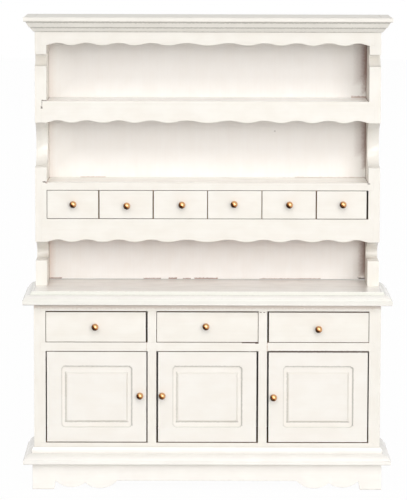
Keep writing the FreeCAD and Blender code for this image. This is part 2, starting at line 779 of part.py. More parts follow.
def make_drawers():
    """Three drawers in the base, and a row of six small ones in the hutch."""
    for index, (side, step) in enumerate(BAYS):
        middle = f"{step} * (bay_width + stile_width)"
        left = f"{middle} - bay_width / 2 + {DRAWER_GAPS[index][0]}"
        right = f"{middle} + bay_width / 2 - {DRAWER_GAPS[index][1]}"
        front = ((left, right), "door_face", ("drawer_sill + close_gap", "drawer_head - even_gap"))
        low = "drawer_sill + drawer_lift"
        box = ((f"{left} + drawer_inset", f"{right} - drawer_inset"), "drawer_box_length",
               (low, f"{low} + drawer_box_height"))
        make_drawer(f"drawer_{side}", front, box, DRAWER_KNOB_SHARES[index],
                    "drawer_front_thickness")
    bounds = ["-side_inner"] + [f"{step} * small_drawer_pitch" for step in INNER_STEPS]
    bounds.append("side_inner")
    for index, (left, right) in enumerate(zip(bounds, bounds[1:])):
        at_left_end = index == 0
        at_right_end = index == len(INNER_STEPS)
        left_gap = SMALL_GAPS[index] if at_left_end else f"{SMALL_GAPS[index]} / 2"
        right_gap = SMALL_GAPS[index + 1] if at_right_end else f"{SMALL_GAPS[index + 1]} / 2"
        left_wall = "0" if at_left_end else "divider_thickness / 2"
        right_wall = "0" if at_right_end else "divider_thickness / 2"
        front = ((f"{left} + {left_gap}", f"{right} - {right_gap}"), "small_face",
                 ("small_sill + close_gap", "small_head - close_gap"))
        low = "small_sill + drawer_lift"
        box = ((f"{left} + {left_wall} + divider_clearance + {left_gap}",
                f"{right} - {right_wall} - divider_clearance - {right_gap}"),
               "small_box_length", (low, f"{low} + small_box_height"))
        make_drawer(f"small_drawer_{index + 1}", front, box, SMALL_KNOB_SHARES[index],
                    "small_front_thickness")


def rounded_rectangle(left, right, low, high, radius):
    """A rectangle's outline with its four corners rounded."""
    bend = f"{radius} * {CORNER_BEND_SHARE}"
    return [
        (f"{left} + {radius}", low),
        (f"{right} - {radius}", low),
        (f"{right} - {bend}", f"{low} + {bend}", right, f"{low} + {radius}"),
        (right, f"{high} - {radius}"),
        (f"{right} - {bend}", f"{high} - {bend}", f"{right} - {radius}", high),
        (f"{left} + {radius}", high),
        (f"{left} + {bend}", f"{high} - {bend}", left, f"{high} - {radius}"),
        (left, f"{low} + {radius}"),
        (f"{left} + {bend}", f"{low} + {bend}", f"{left} + {radius}", low),
    ]


def make_doors():
    """Three door leaves, each routed to a raised field, bored for its two pins and its knob."""
    for index, (side, step) in enumerate(BAYS):
        middle = f"{step} * (bay_width + stile_width)"
        left = f"{middle} - bay_width / 2 + {DOOR_GAPS[index][0]}"
        right = f"{middle} + bay_width / 2 - {DOOR_GAPS[index][1]}"
        low = "door_sill + running_gap"
        high = "door_head - running_gap"
        floor = "door_face + panel_groove_depth"
        name = f"door_{side}"
        leaf = board(f"{name}_blank", (left, right), ("door_face", "door_face + door_thickness"),
                     (low, high))
        recess = sawn(f"{name}_recess", "XZ_Plane", "door_face - overrun", floor,
                      rounded_rectangle(f"{left} + panel_margin", f"{right} - panel_margin",
                                        f"{low} + panel_margin", f"{high} - panel_margin",
                                        "panel_corner_radius"))
        field_left = f"{left} + panel_margin + panel_side_groove"
        field_right = f"{right} - panel_margin - panel_side_groove"
        field_low = f"{low} + panel_margin + panel_foot_groove"
        field_high = f"{high} - panel_margin - panel_head_groove"
        field = sawn(f"{name}_field", "XZ_Plane", "door_face", floor,
                     [(field_left, field_low), (field_right, field_low),
                      (field_right, field_high), (field_left, field_high)],
                     "-atan(panel_bevel / panel_groove_depth)")
        routed = doc.addObject("Part::Fuse", f"{name}_routed")
        routed.Base = cut(f"{name}_grooved", leaf, [recess])
        routed.Tool = field
        bore = "pin_radius + pin_running_clearance"
        depth = "pin_in_door + pin_end_clearance"
        spot = pin_places()[side]
        bores = [
            dowel(f"{name}_lower_bore", bore, depth, spot, "pin_line", low),
            dowel(f"{name}_upper_bore", bore, depth, spot, "pin_line", f"{high} - ({depth})"),
        ]
        drift_x, drift_z = DOOR_KNOB_SHARES[index]
        edge = f"{right} - door_knob_inset" if side == "left" else f"{left} + door_knob_inset"
        knob_x = f"{edge} + (({right}) - ({left})) * {drift_x}"
        knob_z = f"(({low}) + ({high})) / 2 + (({high}) - ({low})) * {drift_z}"
        bored = cut(f"{name}_bored", routed, bores)
        node(f"{name}_leaf", drilled(f"{name}_drilled", bored, knob_x, "door_face", knob_z))
        make_knob(f"{name}_knob", knob_x, "door_face", knob_z)


def check_and_export():
    """Stop on any failed object, then write each node's shape to its own file."""
    doc.recompute()
    for item in doc.Objects:
        if "Invalid" in item.State or "Error" in item.State:
            raise RuntimeError(f"{item.Label} did not build: {item.State}")
    os.makedirs("parts", exist_ok=True)
    for item in nodes:
        if item.Shape.isNull() or not item.Shape.isValid():
            raise RuntimeError(f"{item.Label} has no valid shape")
        item.Shape.exportStep(f"parts/{item.Label}.step")
        print(f"{item.Label}: {len(item.Shape.Solids)} solids, {item.Shape.Volume:.2f} mm3")


BAYS = (("left", -1), ("middle", 0), ("right", 1))
INNER_STEPS = range(-2, 3)

fill_sheet()
make_plinth()
make_plinth_moulding()
make_base()
make_counter()
make_hutch_sides()
make_hutch()
make_crown()
make_drawers()
make_doors()
check_and_export()
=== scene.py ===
import math

import bpy
from mathutils import Matrix, Vector

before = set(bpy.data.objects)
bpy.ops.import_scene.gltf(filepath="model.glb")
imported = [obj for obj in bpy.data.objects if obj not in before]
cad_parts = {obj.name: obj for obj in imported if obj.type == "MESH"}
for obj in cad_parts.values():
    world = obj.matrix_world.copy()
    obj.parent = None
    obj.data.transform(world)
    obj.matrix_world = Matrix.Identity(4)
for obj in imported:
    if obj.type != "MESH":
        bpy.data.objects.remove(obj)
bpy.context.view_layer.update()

# A small dresser in ivory lacquer, with turned brass knobs. The scene is in metres; sizes
# of patterns and places of wear are written in millimetres.
MM = 0.001


def linear(colour):
    """An sRGB hex colour as linear light."""
    parts = [int(colour[start:start + 2], 16) / 255 for start in (1, 3, 5)]
    straight = [part / 12.92 if part <= 0.04045 else ((part + 0.055) / 1.055) ** 2.4
                for part in parts]
    return (*straight, 1.0)


def node(tree, kind, inputs=None, stops=None, **settings):
    """Add a shader node. An input is a value, a hex colour, a node or one of its outputs."""
    made = tree.nodes.new(kind)
    for name, value in settings.items():
        setattr(made, name, value)
    for key, value in (inputs or {}).items():
        if isinstance(value, bpy.types.Node):
            value = next(output for output in value.outputs if output.enabled)
        if isinstance(value, bpy.types.NodeSocket):
            tree.links.new(value, made.inputs[key])
        else:
            made.inputs[key].default_value = linear(value) if isinstance(value, str) else value
    if stops:
        points = made.color_ramp.elements
        while len(points) < len(stops):
            points.new(0.5)  # its own place is set below
        for point, (place, colour) in zip(points, stops):
            point.position = place
            point.color = linear(colour)
    return made


def new_material(name):
    """A material without any nodes, and its tree."""
    material = bpy.data.materials.new(name)
    material.use_nodes = True
    material.node_tree.nodes.clear()
    return material, material.node_tree


def streaks(tree, across, along, axis, detail=3.0, seed=0.0):
    """Noise drawn out along an axis, its width across and length along in mm."""
    place = node(tree, "ShaderNodeTexCoord").outputs["Object"]
    scale = [1 / (across * MM)] * 3
    scale["XYZ".index(axis)] = 1 / (along * MM)
    drawn = node(tree, "ShaderNodeMapping",
                 {"Vector": place, "Location": (seed, seed, seed), "Scale": scale})
    return node(tree, "ShaderNodeTexNoise", {"Vector": drawn, "Scale": 1.0, "Detail": detail})


# Worn, thin and soiled places of the lacquer, and places of painted shade. As a noise goes
# through its range, their edge wanders by a share of their fade, up to a most in mm. From
# front to back they fade this many times faster than along a face.
RAGGED_SHARE = 0.5
RAGGED_MOST = 0.25
RAGGED_NOISE = (0.3, 0.7)
DEPTH_FADE = 4


def near_box(tree, low, high, fade, strength, blotches):
    """Strength in a box from low to high, in mm, down to 0 at its fade, with a ragged edge."""
    place = node(tree, "ShaderNodeTexCoord").outputs["Object"]
    middle = [(a + b) / 2 * MM for a, b in zip(low, high)]
    half = [(b - a) / 2 * MM for a, b in zip(low, high)]
    off = node(tree, "ShaderNodeVectorMath", {0: place, 1: middle}, operation="SUBTRACT")
    off = node(tree, "ShaderNodeVectorMath", {0: off}, operation="ABSOLUTE")
    off = node(tree, "ShaderNodeVectorMath", {0: off, 1: half}, operation="SUBTRACT")
    off = node(tree, "ShaderNodeVectorMath", {0: off, 1: (1, DEPTH_FADE, 1)},
               operation="MULTIPLY")
    sides = node(tree, "ShaderNodeSeparateXYZ", {0: off})
    wide = node(tree, "ShaderNodeMath", {0: sides.outputs[0], 1: sides.outputs[1]},
                operation="MAXIMUM")
    away = node(tree, "ShaderNodeMath", {0: wide, 1: sides.outputs[2]}, operation="MAXIMUM")
    most = min(RAGGED_SHARE * fade, RAGGED_MOST) * MM
    ragged = node(tree, "ShaderNodeMapRange",
                  {"Value": blotches, "From Min": RAGGED_NOISE[0],
                   "From Max": RAGGED_NOISE[1], "To Min": -most, "To Max": most})
    away = node(tree, "ShaderNodeMath", {0: away, 1: ragged}, operation="ADD")
    return node(tree, "ShaderNodeMapRange",
                {"Value": away, "From Min": 0.0, "From Max": fade * MM, "To Min": strength,
                 "To Max": 0.0})


def places(front, back, rows):
    """Worn, soiled and painted-shade places between two depths.

    Each row is a place's left, right, foot and head, how far it fades, how strong it is, and
    its colour.
    """
    return [((left, front, foot), (right, back, head), fade, strength, colour)
            for left, right, foot, head, fade, strength, colour in rows]


BARE_WOOD = "#A67B55"
STAIN = "#4A3226"
# Grey painted shade in hollows, grooves and under the crown, with dust in the hollows
SHADE_AND_DUST_GREY = "#7C7870"
# Brown soiling with painted shade in the right corners
DIRT_AND_SHADE_BROWN = "#7E4E3B"
PRIMER = "#E4C3B0"
# Rubbed brown at joints, and the painted shadow under the counter
RUBBED_WOOD_AND_SHADE = "#A07560"
# Grey painted shade across the middle of the upper niches
NICHE_SHADE_GREY = "#DAD4CF"
# A greyer ivory, painted shade on the counter's nose and lip
PAINTED_SHADE_IVORY = "#E5E4DA"

# Planes of the dresser, and planes past its sides and back, in mm
INSIDE = 65.1
CASE_TOP = 75.25
PAST_SIDES = 80.0
PAST_BACK = 30.0

# The insides of the openings, where fronts rub and little lacquer was sprayed
INSIDE_BASE = places(-16.9, PAST_BACK, [
    (-INSIDE, INSIDE, 10.7, CASE_TOP + 0.1, 0.1, 1.0, BARE_WOOD),
])
INSIDE_DRAWER_CASE = places(-2.7, PAST_BACK, [
    (-INSIDE, INSIDE, 100.0, 122.4, 0.1, 1.0, BARE_WOOD),
])

# The doors' edges behind their front arris: the outer and inner uprights, the foot and the
# head of all three. The gap over the right door is dark down to the wood.
DOOR_EDGES = places(-16.95, -13.0, [
    (-65.4, -64.0, 18.0, 56.8, 0.1, 0.8, BARE_WOOD),
    (-25.2, -19.2, 18.0, 56.8, 0.1, 0.8, BARE_WOOD),
    (19.2, 25.2, 18.0, 56.8, 0.1, 0.8, BARE_WOOD),
    (64.0, 65.4, 18.0, 56.8, 0.1, 0.8, BARE_WOOD),
    (-65.4, 65.4, 18.0, 19.7, 0.1, 0.8, BARE_WOOD),
    (-65.4, 65.4, 55.5, 56.8, 0.1, 0.8, BARE_WOOD),
]) + places(-17.4, -17.0, [
    (24.6, 64.5, 55.7, 56.0, 0.1, 0.6, STAIN),
])

# Gaps that the lacquer didn't bridge, joints in the frame, and a painted shadow under the
# counter. Over the middle and right drawers the gap is dark deep inside.
BASE_MARKS = places(-17.6, -17.0, [
    (14.0, 20.5, 59.6, 59.8, 0.12, 0.9, STAIN),
    (19.2, 20.5, 59.4, 59.8, 0.12, 0.9, STAIN),
    (24.5, 64.7, 56.2, 56.45, 0.12, 0.8, STAIN),
    (24.0, 24.06, 56.25, 59.75, 0.14, 0.7, BARE_WOOD),
    (-24.46, -24.4, 56.25, 59.75, 0.14, 0.4, BARE_WOOD),
    (-69.6, 69.6, 73.9, 75.3, 0.7, 0.3, RUBBED_WOOD_AND_SHADE),
    (21.0, 21.7, 71.95, 72.1, 0.15, 0.8, STAIN),
    (22.4, 23.1, 71.95, 72.1, 0.15, 0.8, STAIN),
]) + places(-17.0, PAST_BACK, [
    (6.0, 20.6, 72.2, 72.7, 0.2, 0.8, STAIN),
    (24.0, 40.0, 72.2, 72.7, 0.2, 0.8, STAIN),
])

# On the back board: painted shade across the middle of the upper niches, brown soiling and
# painted shade in the right corners, pink primer showing at the left, bare joints along the
# foot of each niche, and one speck
BACK_MARKS = places(18.0, 19.6, [
    (-54.0, 70.0, 164.0, 174.0, 9.0, 0.4, NICHE_SHADE_GREY),
    (-54.0, 70.0, 135.0, 143.0, 9.0, 0.4, NICHE_SHADE_GREY),
    (64.7, 65.1, 166.0, 180.0, 5.5, 0.5, DIRT_AND_SHADE_BROWN),
    (64.8, 65.1, 159.0, 180.0, 2.4, 0.65, DIRT_AND_SHADE_BROWN),
    (64.7, 65.1, 136.0, 148.0, 5.0, 0.45, DIRT_AND_SHADE_BROWN),
    (64.8, 65.1, 128.0, 148.0, 2.0, 0.6, DIRT_AND_SHADE_BROWN),
    (64.6, 65.1, 86.0, 100.0, 5.0, 0.25, DIRT_AND_SHADE_BROWN),
    (64.4, 65.1, 84.0, 100.0, 2.4, 0.65, DIRT_AND_SHADE_BROWN),
    (-65.1, -64.9, 100.0, 187.0, 3.0, 0.2, PRIMER),
    (-65.1, -64.8, 80.0, 100.0, 2.6, 0.4, PRIMER),
    (-64.9, -60.0, 80.3, 81.1, 0.3, 0.8, RUBBED_WOOD_AND_SHADE),
    (-26.0, -19.2, 80.3, 81.05, 0.25, 0.85, RUBBED_WOOD_AND_SHADE),
    (-15.8, -12.6, 80.3, 81.15, 0.25, 0.9, RUBBED_WOOD_AND_SHADE),
    (-9.8, -6.8, 80.3, 81.05, 0.25, 0.9, RUBBED_WOOD_AND_SHADE),
    (-5.0, 4.2, 80.3, 81.15, 0.25, 0.85, RUBBED_WOOD_AND_SHADE),
    (21.8, 46.6, 80.3, 81.0, 0.25, 0.6, RUBBED_WOOD_AND_SHADE),
    (62.6, 65.0, 80.3, 81.2, 0.5, 0.8, STAIN),
    (36.0, 65.0, 122.7, 123.0, 0.25, 0.35, RUBBED_WOOD_AND_SHADE),
    (-52.0, -42.0, 122.7, 123.0, 0.3, 0.4, RUBBED_WOOD_AND_SHADE),
    (59.0, 65.0, 155.5, 156.2, 0.5, 0.6, RUBBED_WOOD_AND_SHADE),
    (27.6, 27.75, 141.9, 142.05, 0.3, 0.8, STAIN),
])

# On the front: a nick, a lifted joint at the end of the shelf and one at the end of the
# drawer case. Then brown soiling and painted shade in the upper right corner, and the crown's
# painted shadow on the frieze.
HUTCH_MARKS = places(-3.6, -3.0, [
    (-67.1, -66.6, 152.8, 153.5, 0.25, 0.8, STAIN),
    (-66.85, -66.65, 153.8, 156.0, 0.2, 0.5, STAIN),
    (-66.8, -65.0, 155.75, 156.0, 0.2, 0.7, STAIN),
    (-66.4, -64.9, 122.9, 123.05, 0.25, 0.9, STAIN),
]) + places(17.0, 19.6, [
    (64.9, 65.1, 165.0, 180.0, 2.5, 0.6, DIRT_AND_SHADE_BROWN),
]) + places(-4.0, -2.0, [
    (-70.0, 70.0, 172.0, 184.0, 8.0, 0.1, SHADE_AND_DUST_GREY),
])

# Dirt where the ends of the shelf and of the drawer case meet the side boards
SHELF_MARKS = places(-3.4, 20.0, [
    (-65.2, -64.9, 155.4, 156.0, 0.5, 0.75, STAIN),
    (64.9, 65.2, 155.4, 156.0, 0.6, 0.6, STAIN),
    (-65.2, -64.9, 122.5, 123.1, 0.4, 0.5, RUBBED_WOOD_AND_SHADE),
    (64.9, 65.2, 122.5, 123.1, 0.5, 0.6, STAIN),
])

# Dust and painted shade in the hollows of the crown
CROWN_MARKS = places(-12.0, PAST_BACK, [
    (-PAST_SIDES, PAST_SIDES, 187.3, 187.6, 0.3, 0.4, SHADE_AND_DUST_GREY),
    (-PAST_SIDES, PAST_SIDES, 185.1, 185.4, 0.25, 0.4, SHADE_AND_DUST_GREY),
    (-PAST_SIDES, PAST_SIDES, 183.3, 183.6, 0.25, 0.4, SHADE_AND_DUST_GREY),
])

# Painted shade in a greyer ivory on the counter's nose and lip
COUNTER_MARKS = places(-23.0, PAST_BACK, [
    (-PAST_SIDES, PAST_SIDES, 79.3, 80.25, 0.2, 1.0, PAINTED_SHADE_IVORY),
    (-PAST_SIDES, PAST_SIDES, 75.9, 77.8, 0.3, 0.5, PAINTED_SHADE_IVORY),
])

# The ragged lower edge of the front apron
PLINTH_MARKS = places(-23.0, -20.0, [
    (6.8, 11.3, 4.0, 4.2, 0.2, 0.6, STAIN),
    (12.4, 13.3, 4.0, 4.2, 0.2, 0.6, STAIN),
])

# The left and right edge of each door's groove, how far its rounded corners run, and where
# its painted shade lies: from its edges inwards, and up and down each flank, in mm
DOOR_OUTLINES = ((-58.65, -30.27), (-13.97, 13.97), (30.49, 58.65))
CORNER_RUN = 0.9
HEAD = 49.9
CORNER_HEAD = 49.8
RIGHT_INSET = 0.2
RIGHT_SPAN = (26.0, 49.3)
PANEL_INSET = 1.5
PANEL_SPAN = (27.3, 47.6)
PANEL_RIGHT_INSET = 1.6
PANEL_FOOT = 27.2

# How wide a line of painted shade is, how far it fades and how strong it is
SHADE_LINE = 0.3
SHADE_LOOK = (0.25, 0.3, SHADE_AND_DUST_GREY)
CORNER_SHADE_LOOK = (0.2, 0.3, SHADE_AND_DUST_GREY)


def groove_shade(left, right):
    """Painted shade at the head and right of a door's groove, and at the left and foot of its
    panel.
    """
    corner = right - CORNER_RUN
    flank = right - RIGHT_INSET
    panel = left + PANEL_INSET
    return places(-17.4, -16.4, [
        (left + CORNER_RUN, corner, HEAD, HEAD + SHADE_LINE, *SHADE_LOOK),
        (flank, flank + SHADE_LINE, *RIGHT_SPAN, *SHADE_LOOK),
        (corner, flank, RIGHT_SPAN[1], CORNER_HEAD, *CORNER_SHADE_LOOK),
        (panel, panel + SHADE_LINE, *PANEL_SPAN, *SHADE_LOOK),
        (panel, right - PANEL_RIGHT_INSET, PANEL_FOOT, PANEL_FOOT + SHADE_LINE, *SHADE_LOOK),
    ])


DOOR_GROOVE_SHADE = [mark for outline in DOOR_OUTLINES for mark in groove_shade(*outline)]

# Patterns of the lacquered wood, in mm across and along the board. Limewood's grain is finer
# than that; it is drawn as coarse as it needs to show.
RAISED_GRAIN = (0.7, 22.0)
CLOUDS = (5.0, 9.0)
BLOTCHES = (0.8, 0.8)

# Which part of each noise takes a tone from none to full
CLOUD_RANGE = (0.35, 0.65)
GRAIN_RANGE = (0.35, 0.75)

# How open a corner is where its soiling and painted shade are full and where they end, and
# rays that feel it
CORNER_RANGE = (0.5, 0.78)
CORNER_RAYS = 16

# How high the grain stands, in mm, how much of it the lacquer shows, how far the gloss
# changes from cloud to cloud, and how strongly lacquer bends light
GRAIN_HEIGHT = 0.03
GRAIN_RELIEF = 0.2
SHEEN_SPREAD = 0.04
LACQUER_IOR = 1.48


def ivory_lacquer(name, axis, colours, marks=(), worn=0.07, corner_dirt_and_shade=0.35, sheen=0.22,
                  reach=1.1):
    """Ivory lacquer sprayed over sanded limewood and rubbed down by hand.

    It gives a satin white, a little warmer where coats are thin, with the grain faintly
    raised along the board, brown wood in the openings and at worn places, and corners
    painted darker by how closed in they are, as soiling and painted shade. Worn is how much
    of the thin tone the grain shows, the next argument how dark the corners are painted,
    sheen how matt the lacquer is, and reach how far that darkening goes, in mm.
    """
    light, deep, thin, dirt_and_shade_tone = colours
    material, tree = new_material(name)
    grain = streaks(tree, *RAISED_GRAIN, axis, detail=4.0)
    cloud = streaks(tree, *CLOUDS, axis, detail=2.0, seed=3.7)
    blotches = streaks(tree, *BLOTCHES, axis, detail=3.0, seed=7.9)
    colour = node(tree, "ShaderNodeValToRGB", {"Fac": cloud},
                  stops=[(CLOUD_RANGE[0], deep), (CLOUD_RANGE[1], light)])
    raised = node(tree, "ShaderNodeMapRange",
                  {"Value": grain, "From Min": GRAIN_RANGE[0], "From Max": GRAIN_RANGE[1],
                   "To Max": worn})
    colour = node(tree, "ShaderNodeMix", {0: raised, 6: colour, 7: thin}, data_type="RGBA")
    # Corners, crevices and gaps are painted darker as they close in: soiling with painted
    # shade
    corner = node(tree, "ShaderNodeAmbientOcclusion", {"Distance": reach * MM},
                  samples=CORNER_RAYS)
    dirt_and_shade = node(tree, "ShaderNodeMapRange",
                 {"Value": corner.outputs["AO"], "From Min": CORNER_RANGE[0],
                  "From Max": CORNER_RANGE[1], "To Min": corner_dirt_and_shade, "To Max": 0.0})
    colour = node(tree, "ShaderNodeMix", {0: dirt_and_shade, 6: colour, 7: dirt_and_shade_tone},
                  data_type="RGBA")
    for low, high, fade, strength, mark_tone in marks:
        mark = near_box(tree, low, high, fade, strength, blotches)
        colour = node(tree, "ShaderNodeMix", {0: mark, 6: colour, 7: mark_tone},
                      data_type="RGBA")
    relief = node(tree, "ShaderNodeBump",
                  {"Strength": GRAIN_RELIEF, "Distance": GRAIN_HEIGHT * MM,
                   "Height": grain})
    gloss = node(tree, "ShaderNodeMapRange",
                 {"Value": cloud, "To Min": sheen - SHEEN_SPREAD,
                  "To Max": sheen + SHEEN_SPREAD})
    shader = node(tree, "ShaderNodeBsdfPrincipled",
                  {"Base Color": colour, "Roughness": gloss, "Normal": relief,
                   "IOR": LACQUER_IOR})
    node(tree, "ShaderNodeOutputMaterial", {"Surface": shader})
    return material


# Bare limewood: its pores and its growth rings, in mm across and along, both drawn as coarse
# as they need to show, and its tones
PORES = (0.5, 22.0)
RINGS = (3.2, 60.0)
RING_TONES = [(0.3, "#B08660"), (0.7, "#CBA57C")]
PORE_TONE = "#8F6746"
PORE_RANGE = (0.45, 0.8)
PORE_SHARE = 0.55
PORE_DEPTH = 0.04
PORE_RELIEF = 0.5
SANDED_ROUGHNESS = 0.72


def sanded_limewood(name, axis):
    """Bare limewood off the sander: pale brown, close straight grain, no gloss."""
    material, tree = new_material(name)
    grain = streaks(tree, *PORES, axis, detail=6.0)
    ring = streaks(tree, *RINGS, axis, detail=2.0, seed=5.1)
    colour = node(tree, "ShaderNodeValToRGB", {"Fac": ring}, stops=RING_TONES)
    lines = node(tree, "ShaderNodeMapRange",
                 {"Value": grain, "From Min": PORE_RANGE[0], "From Max": PORE_RANGE[1],
                  "To Max": PORE_SHARE})
    colour = node(tree, "ShaderNodeMix", {0: lines, 6: colour, 7: PORE_TONE},
                  data_type="RGBA")
    relief = node(tree, "ShaderNodeBump",
                  {"Strength": PORE_RELIEF, "Distance": PORE_DEPTH * MM, "Height": grain})
    shader = node(tree, "ShaderNodeBsdfPrincipled",
                  {"Base Color": colour, "Roughness": SANDED_ROUGHNESS, "Normal": relief})
    node(tree, "ShaderNodeOutputMaterial", {"Surface": shader})
    return material


# Brass: which way its painted-shade side faces, how wide its patches are in mm, and its tones
# from the bright front to the side painted dark as shade
SHADED_SIDE = (-0.6, 0.2, -0.6)
BRASS_PATCHES = (0.7, 0.7)
BRASS_TONES = [(0.15, "#DDAB7B"), (0.42, "#A2693A"), (0.7, "#3A200E")]
BRASS_ROUGHNESS = 0.25


def turned_brass(name):
    """Brass turned on a lathe: bright gold in front, painted brown below as shade.

    Its underside and left flank are painted dark brown in soft patches, as painted shade and
    painted dark reflection.
    """
    material, tree = new_material(name)
    patches = streaks(tree, *BRASS_PATCHES, "Y", detail=4.0)
    facing = node(tree, "ShaderNodeTexCoord").outputs["Normal"]
    below = node(tree, "ShaderNodeVectorMath", {0: facing, 1: SHADED_SIDE},
                 operation="DOT_PRODUCT")
    shaded = node(tree, "ShaderNodeMath", {0: below.outputs["Value"], 1: patches},
                operation="ADD")
    colour = node(tree, "ShaderNodeValToRGB", {"Fac": shaded}, stops=BRASS_TONES)
    shader = node(tree, "ShaderNodeBsdfPrincipled",
                  {"Base Color": colour, "Metallic": 1.0, "Roughness": BRASS_ROUGHNESS})
    node(tree, "ShaderNodeOutputMaterial", {"Surface": shader})
    return material


# Steel wire: its lines from the drawing die, in mm across and along, and their tones
DIE_LINES = (0.25, 3.0)
WIRE_TONES = [(0.3, "#8C8A87"), (0.7, "#B4B1AC")]
WIRE_ROUGHNESS = 0.38


def drawn_wire(name):
    """Steel pin wire, drawn and cut: matt grey with lines along it, drawn coarse to show."""
    material, tree = new_material(name)
    lines = streaks(tree, *DIE_LINES, "Z", detail=2.0)
    colour = node(tree, "ShaderNodeValToRGB", {"Fac": lines}, stops=WIRE_TONES)
    shader = node(tree, "ShaderNodeBsdfPrincipled",
                  {"Base Color": colour, "Metallic": 1.0, "Roughness": WIRE_ROUGHNESS})
    node(tree, "ShaderNodeOutputMaterial", {"Surface": shader})
    return material


# Finishes. Each set of colours holds the lacquer's light and deep tone, its tone where it is
# thin, and the soiled tone with painted shade that darkens its corners. The lighter sets on
# the counter, the mouldings, the plinth and the back boards are painted light, and the
# darker set on the crown is painted shade.
FACE_COLOURS = ("#F2EEE6", "#EFEAE1", "#DED1C4", "#85725F")
LIT_COLOURS = ("#FAF7F1", "#F7F3ED", "#E6D8CA", "#85725F")
DOOR_COLOURS = ("#F2EEE7", "#F0EBE3", "#E6DCD2", "#8E8A84")
SHELF_COLOURS = ("#F3F0EB", "#F0ECE6", "#DED1C4", "#85725F")
LIT_BACK_COLOURS = ("#FDFAF6", "#FBF7F2", "#E3D0C4", "#A08B78")
SHADED_CROWN_COLOURS = ("#EFEBE3", "#EAE6DE", "#D8CCBF", "#85725F")

HUTCH_LEVEL = ivory_lacquer("ivory_lacquer_on_hutch_rails", "X", FACE_COLOURS, HUTCH_MARKS)
HUTCH_UPRIGHT = ivory_lacquer("ivory_lacquer_on_hutch_sides", "Z", FACE_COLOURS,
                              HUTCH_MARKS, corner_dirt_and_shade=0.15)
BACKS = ivory_lacquer("thin_ivory_lacquer_on_back_boards", "Z", LIT_BACK_COLOURS, BACK_MARKS,
                      worn=0.06, corner_dirt_and_shade=0.1)
PLINTH = ivory_lacquer("ivory_lacquer_on_plinth", "X", LIT_COLOURS, PLINTH_MARKS)
BASE_LEVEL = ivory_lacquer("ivory_lacquer_on_base_rails_and_fronts", "X", FACE_COLOURS,
                           INSIDE_BASE + BASE_MARKS)
BASE_UPRIGHT = ivory_lacquer("ivory_lacquer_on_base_uprights", "Z", FACE_COLOURS,
                             INSIDE_BASE + BASE_MARKS)
CASE_LEVEL = ivory_lacquer("ivory_lacquer_on_small_drawer_case", "X", FACE_COLOURS,
                           INSIDE_DRAWER_CASE + HUTCH_MARKS + SHELF_MARKS)
SHELF = ivory_lacquer("ivory_lacquer_on_shelf", "X", SHELF_COLOURS, SHELF_MARKS)
COUNTER = ivory_lacquer("ivory_lacquer_on_counter", "X", LIT_COLOURS, corner_dirt_and_shade=0.15)
MOULDED = ivory_lacquer("ivory_lacquer_on_moulded_edges", "X", LIT_COLOURS,
                        COUNTER_MARKS, corner_dirt_and_shade=0.6, reach=1.6)
ROUTED = ivory_lacquer("ivory_lacquer_on_routed_doors", "X", DOOR_COLOURS,
                       DOOR_EDGES + DOOR_GROOVE_SHADE)
CROWN = ivory_lacquer("dull_ivory_lacquer_on_crown_painted_shade", "X", SHADED_CROWN_COLOURS, CROWN_MARKS,
                      corner_dirt_and_shade=0.9, sheen=0.5)
BARE = sanded_limewood("sanded_limewood_front_to_back", "Y")
BRASS = turned_brass("turned_brass")
WIRE = drawn_wire("drawn_steel_wire")

FINISHES = (
    (WIRE, ("door_pins",)),
    (CROWN, ("crown_moulding", "hutch_top")),
    (HUTCH_LEVEL, ("frieze_rail", "upper_shelf_rail")),
    (HUTCH_UPRIGHT, ("hutch_side_left", "hutch_side_right")),
    (SHELF, ("upper_shelf",)),
    (CASE_LEVEL, ("drawer_case_top", "drawer_case_bottom", "drawer_case_apron")),
    (COUNTER, ("counter_top",)),
    (MOULDED, ("counter_moulding", "plinth_moulding")),
    (BASE_LEVEL, ("base_top_rail", "base_middle_rail", "base_bottom_rail")),
    (BASE_UPRIGHT, ("base_side_left", "base_side_right", "base_stiles")),
    (ROUTED, ("door_left_leaf", "door_middle_leaf", "door_right_leaf")),
    (PLINTH, ("plinth_aprons",)),
    (BACKS, ("base_back", "hutch_back")),
    (BARE, ("base_floor", "base_partitions", "drawer_shelves", "drawer_case_dividers")),
)


def finish_for(name):
    """The finish of a CAD piece, from what it is."""
    if name.endswith("_knob"):
        return BRASS
    if name.endswith("_box"):
        return BARE
    if name.endswith("_front"):
        return CASE_LEVEL if name.startswith("small_drawer") else BASE_LEVEL
    return next(finish for finish, names in FINISHES if name in names)


# How far arrises are rounded, in mm: loose fronts and mouldings were sanded, large drawers
# less so, but the joints of the frame were flooded with lacquer
SANDED_EDGE = 0.16
CRISP_EDGE = 0.08
CRISP = ("drawer_left_front", "drawer_middle_front", "drawer_right_front")
FLOODED_EDGE = 0.05
FLOODED = (
    "base_side_left", "base_side_right", "base_top_rail", "base_middle_rail",
    "base_bottom_rail", "base_stiles", "hutch_side_left", "hutch_side_right", "frieze_rail",
    "upper_shelf_rail", "drawer_case_apron", "drawer_case_top", "drawer_case_bottom",
    "upper_shelf",
)

# Points nearer than this, in mm, are one; faces that turn by less than this are one; and
# edges that turn by more than this are arrises, in degrees
SAME_POINT = 0.002
SAME_FACE = 0.5
ARRIS = 35
ROUNDING_STEPS = 2


def soften(piece, width):
    """Round a sawn and painted piece's edges a little, as sanding and paint leave them."""
    weld = piece.modifiers.new("joined", "WELD")
    weld.merge_threshold = SAME_POINT * MM
    flat = piece.modifiers.new("flat_faces", "DECIMATE")
    flat.decimate_type = "DISSOLVE"
    flat.angle_limit = math.radians(SAME_FACE)
    bevel = piece.modifiers.new("soft_edges", "BEVEL")
    bevel.width = width * MM
    bevel.segments = ROUNDING_STEPS
    bevel.limit_method = "ANGLE"
    bevel.angle_limit = math.radians(ARRIS)
    bevel.harden_normals = True


